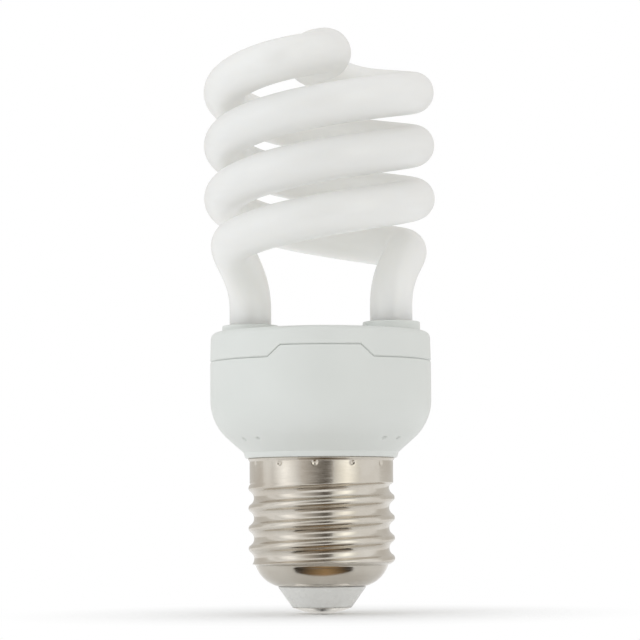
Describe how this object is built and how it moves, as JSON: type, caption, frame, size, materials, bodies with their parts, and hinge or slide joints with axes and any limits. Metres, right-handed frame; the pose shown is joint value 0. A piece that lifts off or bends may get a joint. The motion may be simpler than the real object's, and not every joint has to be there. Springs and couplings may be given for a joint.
{
  "type": "energy saving bulb",
  "caption": "Spiral compact fluorescent lamp: white double-spiral glass tube on a white ballast housing with a nickel-plated screw cap.",
  "frame": {"origin": "lowest point of the centre contact, on the lamp's axis", "axes": "+Z along the lamp's axis from the cap to the crown of the tube, -Y towards the seam's raised front tab"},
  "size_m": [0.0418, 0.0418, 0.1058],
  "materials": {
    "phosphor_glass": "gloss",
    "white_plastic": "satin",
    "nickel_plate": "polished",
    "insulator": "gloss",
    "contact_metal": "satin",
    "cement": "matte",
    "board": "matte",
    "ferrite": "matte",
    "bobbin": "matte",
    "copper": "enamelled",
    "capacitor_sleeve": "gloss",
    "film_dip": "gloss",
    "epoxy": "matte",
    "resistor_coat": "matte",
    "lead_wire": "tinned",
    "wire_cover": "satin"
  },
  "bodies": {
    "root": {"spiral_tube": "phosphor_glass", "tube_cement": "cement", "tube_cover": "white_plastic", "ballast_housing": "white_plastic", "screw_shell": "nickel_plate", "base_insulator": "insulator", "centre_contact": "contact_metal", "circuit_board": "board", "filament_leads": "lead_wire", "live_wire": "wire_cover", "neutral_wire": "wire_cover", "choke_core": "ferrite", "choke_bobbin": "bobbin", "choke_winding": "copper", "reservoir_capacitor": "capacitor_sleeve", "drive_toroid": "ferrite", "toroid_windings": "copper", "transistors": "epoxy", "resonant_capacitor": "film_dip", "coupling_capacitor": "film_dip", "rectifier_diodes": "epoxy", "fuse_resistor": "resistor_coat", "base_resistors": "resistor_coat", "trigger_diode": "resistor_coat"}
  },
  "joints": []
}
